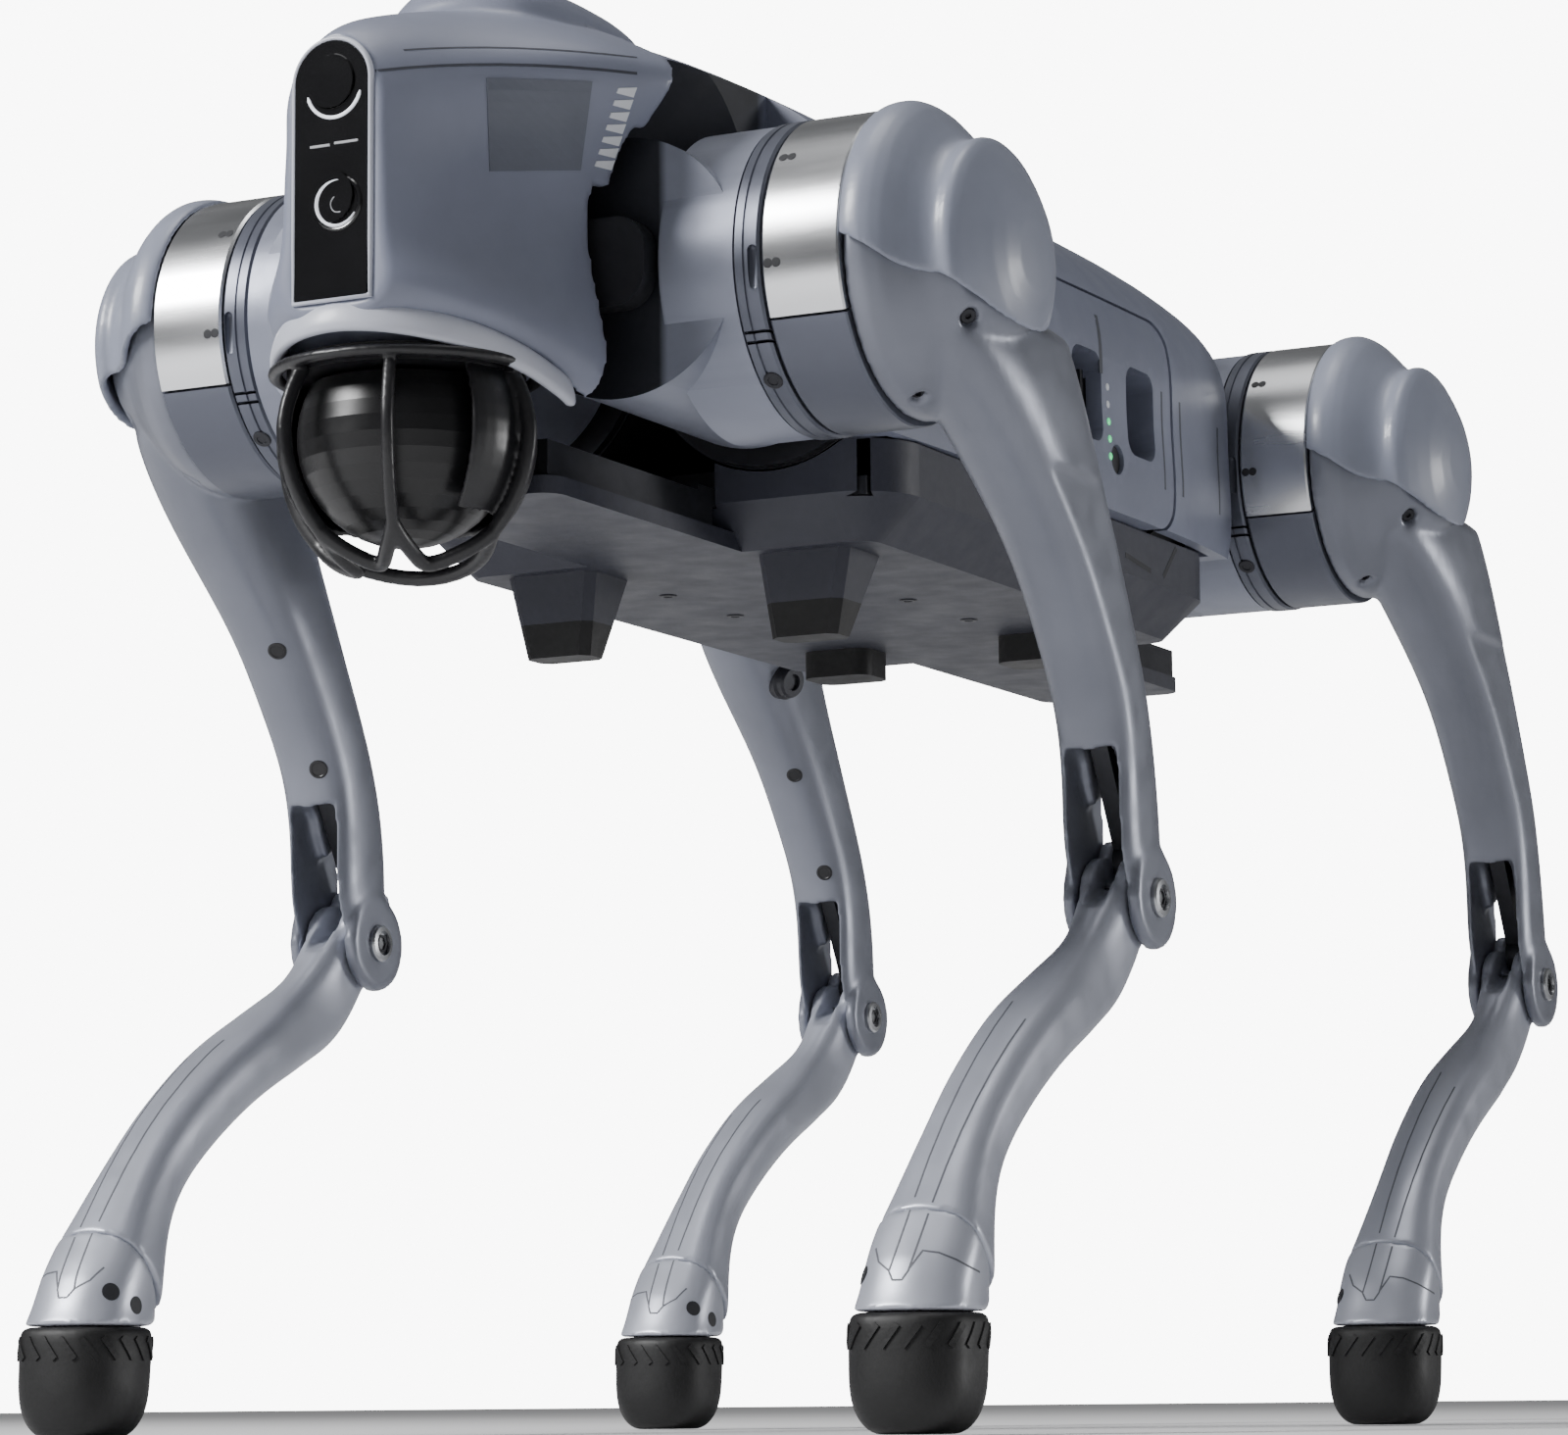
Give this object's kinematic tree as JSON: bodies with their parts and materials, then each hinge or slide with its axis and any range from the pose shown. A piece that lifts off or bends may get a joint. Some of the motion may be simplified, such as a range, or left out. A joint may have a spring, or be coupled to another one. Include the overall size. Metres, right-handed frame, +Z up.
{
  "type": "quadruped robot dog",
  "caption": "Four-legged walking robot with a flat-faced head, a caged spinning scanner under the chin, jointed legs with rubber feet and a slide-out battery.",
  "frame": {"origin": "on the ground under the middle of the robot's overall length and width, standing", "axes": "+Z up, +X to the robot's left, +Y to its rear; the face looks along -Y"},
  "size_m": [0.3348, 0.6462, 0.4511],
  "materials": {
    "grey_shell": "satin",
    "grey_metal": "satin",
    "silver_metal": "brushed",
    "dark_metal": "anodised",
    "black_gloss": "gloss",
    "black_plastic": "satin",
    "belly_plastic": "satin",
    "black_rubber": "matte",
    "optic_glass": "gloss",
    "circuit": "matte",
    "steel": "satin"
  },
  "bodies": {
    "trunk": {"chassis": "dark_metal", "abduction_motors": "dark_metal", "computer_board": "circuit", "head_shell": "grey_shell", "face_panel": "black_gloss", "face_optics": "optic_glass", "lidar_guard": "black_plastic", "lidar_base": "black_plastic", "back_shell": "grey_shell", "belly_cover": "belly_plastic", "belly_pads": "black_rubber"},
    "lidar_dome": {"lidar_dome": "black_gloss"},
    "battery": {"battery": "grey_shell"},
    "latch_front": {"battery_latch_front": "black_plastic"},
    "latch_rear": {"battery_latch_rear": "black_plastic"},
    "power_button": {"power_button": "black_plastic"},
    "hip_fl": {"hip_housing_fl": "grey_shell", "hip_motor_fl": "grey_metal"},
    "thigh_fl": {"thigh_frame_fl": "grey_metal", "thigh_cap_fl": "grey_shell", "knee_motor_fl": "silver_metal", "thigh_fasteners_fl": "steel"},
    "crank_fl": {"crank_fl": "dark_metal"},
    "rod_fl": {"push_rod_fl": "dark_metal"},
    "calf_fl": {"calf_fl": "grey_metal", "foot_cuff_fl": "grey_metal", "foot_boot_fl": "black_rubber"},
    "hip_fr": {"hip_housing_fr": "grey_shell", "hip_motor_fr": "grey_metal"},
    "thigh_fr": {"thigh_frame_fr": "grey_metal", "thigh_cap_fr": "grey_shell", "knee_motor_fr": "silver_metal", "thigh_fasteners_fr": "steel"},
    "crank_fr": {"crank_fr": "dark_metal"},
    "rod_fr": {"push_rod_fr": "dark_metal"},
    "calf_fr": {"calf_fr": "grey_metal", "foot_cuff_fr": "grey_metal", "foot_boot_fr": "black_rubber"},
    "hip_rl": {"hip_housing_rl": "grey_shell", "hip_motor_rl": "grey_metal"},
    "thigh_rl": {"thigh_frame_rl": "grey_metal", "thigh_cap_rl": "grey_shell", "knee_motor_rl": "silver_metal", "thigh_fasteners_rl": "steel"},
    "crank_rl": {"crank_rl": "dark_metal"},
    "rod_rl": {"push_rod_rl": "dark_metal"},
    "calf_rl": {"calf_rl": "grey_metal", "foot_cuff_rl": "grey_metal", "foot_boot_rl": "black_rubber"},
    "hip_rr": {"hip_housing_rr": "grey_shell", "hip_motor_rr": "grey_metal"},
    "thigh_rr": {"thigh_frame_rr": "grey_metal", "thigh_cap_rr": "grey_shell", "knee_motor_rr": "silver_metal", "thigh_fasteners_rr": "steel"},
    "crank_rr": {"crank_rr": "dark_metal"},
    "rod_rr": {"push_rod_rr": "dark_metal"},
    "calf_rr": {"calf_rr": "grey_metal", "foot_cuff_rr": "grey_metal", "foot_boot_rr": "black_rubber"}
  },
  "joints": [
    {"name": "lidar_spin", "type": "hinge", "parent": "trunk", "child": "lidar_dome", "pos_m": [0, -0.27907, 0.29812], "axis": [0, 0, 1], "continuous": true},
    {"name": "battery_slide", "type": "slide", "parent": "trunk", "child": "battery", "axis": [-1, 0, 0], "range_m": [-0.16, 0]},
    {"name": "latch_front_slide", "type": "slide", "parent": "battery", "child": "latch_front", "axis": [0, 1, 0], "range_m": [0, 0.003], "stiffness_N_per_m": 120, "springref_m": -0.004},
    {"name": "latch_rear_slide", "type": "slide", "parent": "battery", "child": "latch_rear", "axis": [0, -1, 0], "range_m": [0, 0.003], "stiffness_N_per_m": 120, "springref_m": -0.004},
    {"name": "power_button_press", "type": "slide", "parent": "battery", "child": "power_button", "axis": [-1, 0, 0], "range_m": [0, 0.0015], "stiffness_N_per_m": 150, "springref_m": -0.003},
    {"name": "hip_abduction_fl", "type": "hinge", "parent": "trunk", "child": "hip_fl", "pos_m": [0.0465, -0.18447, 0.35612], "axis": [0, -1, 0], "range_deg": [-30, 40]},
    {"name": "thigh_fl", "type": "hinge", "parent": "hip_fl", "child": "thigh_fl", "pos_m": [0.146, -0.18447, 0.35612], "axis": [1, 0, 0], "range_deg": [-118, 72]},
    {"name": "knee_fl", "type": "hinge", "parent": "thigh_fl", "child": "calf_fl", "pos_m": [0.146, -0.08024, 0.16808], "axis": [1, 0, 0], "range_deg": [-81.5, 26.5]},
    {"name": "crank_turn_fl", "type": "hinge", "parent": "thigh_fl", "child": "crank_fl", "pos_m": [0.146, -0.18447, 0.35612], "axis": [1, 0, 0], "range_deg": [-81.5, 26.5]},
    {"name": "rod_pivot_fl", "type": "hinge", "parent": "crank_fl", "child": "rod_fl", "pos_m": [0.146, -0.17541, 0.36931], "axis": [1, 0, 0], "range_deg": [-26.5, 81.5]},
    {"name": "hip_abduction_fr", "type": "hinge", "parent": "trunk", "child": "hip_fr", "pos_m": [-0.0465, -0.18447, 0.35612], "axis": [0, -1, 0], "range_deg": [-40, 30]},
    {"name": "thigh_fr", "type": "hinge", "parent": "hip_fr", "child": "thigh_fr", "pos_m": [-0.146, -0.18447, 0.35612], "axis": [1, 0, 0], "range_deg": [-118, 72]},
    {"name": "knee_fr", "type": "hinge", "parent": "thigh_fr", "child": "calf_fr", "pos_m": [-0.146, -0.08024, 0.16808], "axis": [1, 0, 0], "range_deg": [-81.5, 26.5]},
    {"name": "crank_turn_fr", "type": "hinge", "parent": "thigh_fr", "child": "crank_fr", "pos_m": [-0.146, -0.18447, 0.35612], "axis": [1, 0, 0], "range_deg": [-81.5, 26.5]},
    {"name": "rod_pivot_fr", "type": "hinge", "parent": "crank_fr", "child": "rod_fr", "pos_m": [-0.146, -0.17541, 0.36931], "axis": [1, 0, 0], "range_deg": [-26.5, 81.5]},
    {"name": "hip_abduction_rl", "type": "hinge", "parent": "trunk", "child": "hip_rl", "pos_m": [0.0465, 0.20233, 0.35612], "axis": [0, -1, 0], "range_deg": [-30, 40]},
    {"name": "thigh_rl", "type": "hinge", "parent": "hip_rl", "child": "thigh_rl", "pos_m": [0.146, 0.20233, 0.35612], "axis": [1, 0, 0], "range_deg": [-33, 172]},
    {"name": "knee_rl", "type": "hinge", "parent": "thigh_rl", "child": "calf_rl", "pos_m": [0.146, 0.30656, 0.16808], "axis": [1, 0, 0], "range_deg": [-81.5, 26.5]},
    {"name": "crank_turn_rl", "type": "hinge", "parent": "thigh_rl", "child": "crank_rl", "pos_m": [0.146, 0.20233, 0.35612], "axis": [1, 0, 0], "range_deg": [-81.5, 26.5]},
    {"name": "rod_pivot_rl", "type": "hinge", "parent": "crank_rl", "child": "rod_rl", "pos_m": [0.146, 0.21139, 0.36931], "axis": [1, 0, 0], "range_deg": [-26.5, 81.5]},
    {"name": "hip_abduction_rr", "type": "hinge", "parent": "trunk", "child": "hip_rr", "pos_m": [-0.0465, 0.20233, 0.35612], "axis": [0, -1, 0], "range_deg": [-40, 30]},
    {"name": "thigh_rr", "type": "hinge", "parent": "hip_rr", "child": "thigh_rr", "pos_m": [-0.146, 0.20233, 0.35612], "axis": [1, 0, 0], "range_deg": [-33, 172]},
    {"name": "knee_rr", "type": "hinge", "parent": "thigh_rr", "child": "calf_rr", "pos_m": [-0.146, 0.30656, 0.16808], "axis": [1, 0, 0], "range_deg": [-81.5, 26.5]},
    {"name": "crank_turn_rr", "type": "hinge", "parent": "thigh_rr", "child": "crank_rr", "pos_m": [-0.146, 0.20233, 0.35612], "axis": [1, 0, 0], "range_deg": [-81.5, 26.5]},
    {"name": "rod_pivot_rr", "type": "hinge", "parent": "crank_rr", "child": "rod_rr", "pos_m": [-0.146, 0.21139, 0.36931], "axis": [1, 0, 0], "range_deg": [-26.5, 81.5]}
  ],
  "couplings": [
    {"joint": "crank_turn_fl", "follows": "knee_fl", "ratio": 1},
    {"joint": "rod_pivot_fl", "follows": "knee_fl", "ratio": -1},
    {"joint": "crank_turn_fr", "follows": "knee_fr", "ratio": 1},
    {"joint": "rod_pivot_fr", "follows": "knee_fr", "ratio": -1},
    {"joint": "crank_turn_rl", "follows": "knee_rl", "ratio": 1},
    {"joint": "rod_pivot_rl", "follows": "knee_rl", "ratio": -1},
    {"joint": "crank_turn_rr", "follows": "knee_rr", "ratio": 1},
    {"joint": "rod_pivot_rr", "follows": "knee_rr", "ratio": -1}
  ]
}
